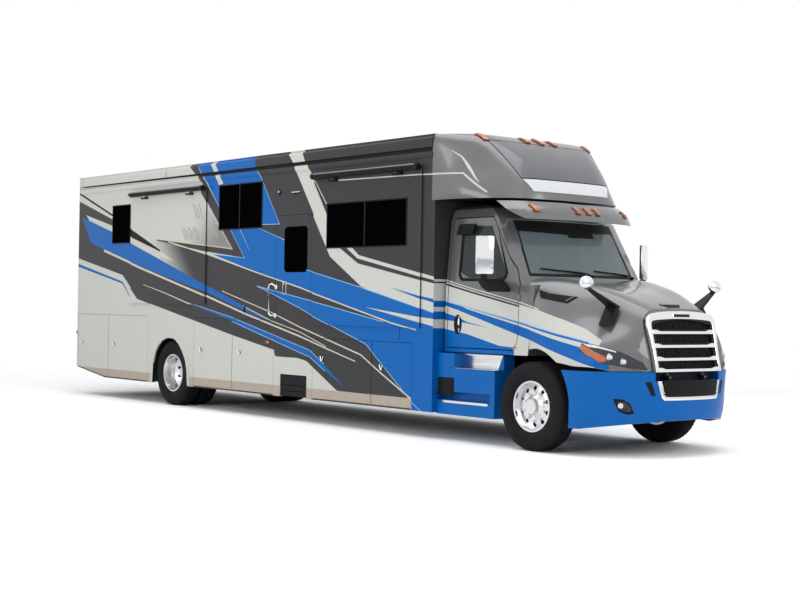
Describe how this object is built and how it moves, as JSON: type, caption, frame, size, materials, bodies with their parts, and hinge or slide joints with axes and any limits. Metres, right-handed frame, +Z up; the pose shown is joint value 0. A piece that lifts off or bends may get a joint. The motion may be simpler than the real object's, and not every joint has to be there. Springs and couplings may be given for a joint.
{
  "type": "motorhome",
  "caption": "Long motorhome with a hooded truck cab, cap over the cab, slide-out rooms, an entry door and side-hinged luggage bays along its skirt.",
  "frame": {"origin": "on the ground, in the middle of the overall length and width", "axes": "+X forward along the vehicle, +Y to the vehicle's left, +Z up"},
  "size_m": [12.84, 3.0626, 4.0049],
  "materials": {
    "house_paint": "gloss",
    "skirt_paint": "gloss",
    "cab_paint": "metallic gloss",
    "roof_white": "satin",
    "trim_black": "matte",
    "chassis_black": "satin",
    "chrome_trim": "polished",
    "polished_alloy": "polished",
    "tyre_rubber": "matte",
    "dark_glass": "gloss",
    "clear_glass": "gloss",
    "lamp_lens": "gloss",
    "cabin_grey": "matte",
    "floor_board": "satin",
    "bay_lining": "matte"
  },
  "bodies": {
    "coach": {"awning_case": "roof_white", "basement_bays": "bay_lining", "cab_interior": "cabin_grey", "cab_shell": "cab_paint", "chassis_frame": "chassis_black", "engine": "chassis_black", "entry_steps": "bay_lining", "front_axle": "chassis_black", "front_bulkhead": "bay_lining", "front_bumper": "cab_paint", "front_cap": "cab_paint", "hitch_receiver": "chassis_black", "house_floor": "floor_board", "rear_axle": "chassis_black", "rear_wall": "house_paint", "roof": "roof_white", "roof_units": "roof_white", "side_fairings": "cab_paint", "side_wall_left": "house_paint", "side_wall_right": "house_paint", "sun_visor": "dark_glass", "wall_windows": "dark_glass", "windshield": "clear_glass"},
    "knuckle_right": {"knuckle_right": "chassis_black"},
    "front_wheel_right": {"front_tyre_right": "tyre_rubber", "front_rim_right": "polished_alloy"},
    "rear_wheels_right": {"rear_tyres_right": "tyre_rubber", "rear_rims_right": "polished_alloy"},
    "cab_door_right": {"cab_door_right": "cab_paint", "cab_door_glass_right": "clear_glass", "door_mirror_right": "chrome_trim"},
    "baggage_door_right_1": {"baggage_door_right_1": "house_paint"},
    "baggage_door_right_2": {"baggage_door_right_2": "house_paint"},
    "baggage_door_right_3": {"baggage_door_right_3": "house_paint"},
    "baggage_door_right_4": {"baggage_door_right_4": "house_paint"},
    "baggage_door_right_5": {"baggage_door_right_5": "house_paint"},
    "baggage_door_right_6": {"baggage_door_right_6": "house_paint"},
    "knuckle_left": {"knuckle_left": "chassis_black"},
    "front_wheel_left": {"front_tyre_left": "tyre_rubber", "front_rim_left": "polished_alloy"},
    "rear_wheels_left": {"rear_tyres_left": "tyre_rubber", "rear_rims_left": "polished_alloy"},
    "cab_door_left": {"cab_door_left": "cab_paint", "cab_door_glass_left": "clear_glass", "door_mirror_left": "chrome_trim"},
    "baggage_door_left_1": {"baggage_door_left_1": "house_paint"},
    "baggage_door_left_2": {"baggage_door_left_2": "house_paint"},
    "baggage_door_left_3": {"baggage_door_left_3": "house_paint"},
    "baggage_door_left_4": {"baggage_door_left_4": "house_paint"},
    "baggage_door_left_5": {"baggage_door_left_5": "house_paint"},
    "baggage_door_left_6": {"baggage_door_left_6": "house_paint"},
    "entry_door": {"entry_door": "house_paint", "entry_door_glass": "dark_glass"},
    "hood": {"hood": "cab_paint", "grille": "chrome_trim", "headlamps": "lamp_lens", "hood_mirrors": "chrome_trim"},
    "slide_room_front": {"slide_room_front": "house_paint", "slide_window": "dark_glass"},
    "slide_room_rear": {"slide_room_rear": "house_paint"}
  },
  "joints": [
    {"name": "steer_right", "type": "hinge", "parent": "coach", "child": "knuckle_right", "pos_m": [5.02, -0.925, 0.52], "axis": [0, 0, 1], "range_deg": [-40, 40]},
    {"name": "front_wheel_spin_right", "type": "hinge", "parent": "knuckle_right", "child": "front_wheel_right", "pos_m": [5.02, -1.1, 0.52], "axis": [0, 1, 0], "continuous": true},
    {"name": "rear_wheel_spin_right", "type": "hinge", "parent": "coach", "child": "rear_wheels_right", "pos_m": [-3.13, -0.94, 0.52], "axis": [0, 1, 0], "continuous": true},
    {"name": "cab_door_hinge_right", "type": "hinge", "parent": "coach", "child": "cab_door_right", "pos_m": [4.648, -1.11, 1.6], "axis": [0, 0, 1], "range_deg": [0, 70]},
    {"name": "baggage_door_right_1_hinge", "type": "hinge", "parent": "coach", "child": "baggage_door_right_1", "pos_m": [-5.226, -1.2745, 0.85], "axis": [0, 0, 1], "range_deg": [0, 90]},
    {"name": "baggage_door_right_2_hinge", "type": "hinge", "parent": "coach", "child": "baggage_door_right_2", "pos_m": [-3.863, -1.2745, 0.85], "axis": [0, 0, 1], "range_deg": [0, 90]},
    {"name": "baggage_door_right_3_hinge", "type": "hinge", "parent": "coach", "child": "baggage_door_right_3", "pos_m": [-1.303, -1.2745, 0.85], "axis": [0, 0, 1], "range_deg": [0, 90]},
    {"name": "baggage_door_right_4_hinge", "type": "hinge", "parent": "coach", "child": "baggage_door_right_4", "pos_m": [-0.196, -1.2745, 0.85], "axis": [0, 0, 1], "range_deg": [0, 90]},
    {"name": "baggage_door_right_5_hinge", "type": "hinge", "parent": "coach", "child": "baggage_door_right_5", "pos_m": [2.086, -1.2745, 0.85], "axis": [0, 0, 1], "range_deg": [0, 90]},
    {"name": "baggage_door_right_6_hinge", "type": "hinge", "parent": "coach", "child": "baggage_door_right_6", "pos_m": [2.917, -1.2745, 0.85], "axis": [0, 0, 1], "range_deg": [0, 90]},
    {"name": "steer_left", "type": "hinge", "parent": "coach", "child": "knuckle_left", "pos_m": [5.02, 0.925, 0.52], "axis": [0, 0, 1], "range_deg": [-40, 40]},
    {"name": "front_wheel_spin_left", "type": "hinge", "parent": "knuckle_left", "child": "front_wheel_left", "pos_m": [5.02, 1.1, 0.52], "axis": [0, 1, 0], "continuous": true},
    {"name": "rear_wheel_spin_left", "type": "hinge", "parent": "coach", "child": "rear_wheels_left", "pos_m": [-3.13, 0.94, 0.52], "axis": [0, 1, 0], "continuous": true},
    {"name": "cab_door_hinge_left", "type": "hinge", "parent": "coach", "child": "cab_door_left", "pos_m": [4.648, 1.11, 1.6], "axis": [0, 0, -1], "range_deg": [0, 70]},
    {"name": "baggage_door_left_1_hinge", "type": "hinge", "parent": "coach", "child": "baggage_door_left_1", "pos_m": [-5.226, 1.2745, 0.85], "axis": [0, 0, -1], "range_deg": [0, 90]},
    {"name": "baggage_door_left_2_hinge", "type": "hinge", "parent": "coach", "child": "baggage_door_left_2", "pos_m": [-3.863, 1.2745, 0.85], "axis": [0, 0, -1], "range_deg": [0, 90]},
    {"name": "baggage_door_left_3_hinge", "type": "hinge", "parent": "coach", "child": "baggage_door_left_3", "pos_m": [-1.303, 1.2745, 0.85], "axis": [0, 0, -1], "range_deg": [0, 90]},
    {"name": "baggage_door_left_4_hinge", "type": "hinge", "parent": "coach", "child": "baggage_door_left_4", "pos_m": [-0.196, 1.2745, 0.85], "axis": [0, 0, -1], "range_deg": [0, 90]},
    {"name": "baggage_door_left_5_hinge", "type": "hinge", "parent": "coach", "child": "baggage_door_left_5", "pos_m": [2.086, 1.2745, 0.85], "axis": [0, 0, -1], "range_deg": [0, 90]},
    {"name": "baggage_door_left_6_hinge", "type": "hinge", "parent": "coach", "child": "baggage_door_left_6", "pos_m": [2.917, 1.2745, 0.85], "axis": [0, 0, -1], "range_deg": [0, 90]},
    {"name": "entry_door_hinge", "type": "hinge", "parent": "coach", "child": "entry_door", "pos_m": [0.687, -1.2745, 1.9], "axis": [0, 0, 1], "range_deg": [0, 90]},
    {"name": "hood_tilt", "type": "hinge", "parent": "coach", "child": "hood", "pos_m": [6.31, 0, 0.9], "axis": [0, 1, 0], "range_deg": [0, 60]},
    {"name": "front_slide_out", "type": "slide", "parent": "coach", "child": "slide_room_front", "axis": [0, -1, 0], "range_m": [0, 0.75]},
    {"name": "rear_slide_out", "type": "slide", "parent": "coach", "child": "slide_room_rear", "axis": [0, -1, 0], "range_m": [0, 0.6]}
  ],
  "couplings": [
    {"joint": "steer_right", "follows": "steer_left", "ratio": 1}
  ]
}
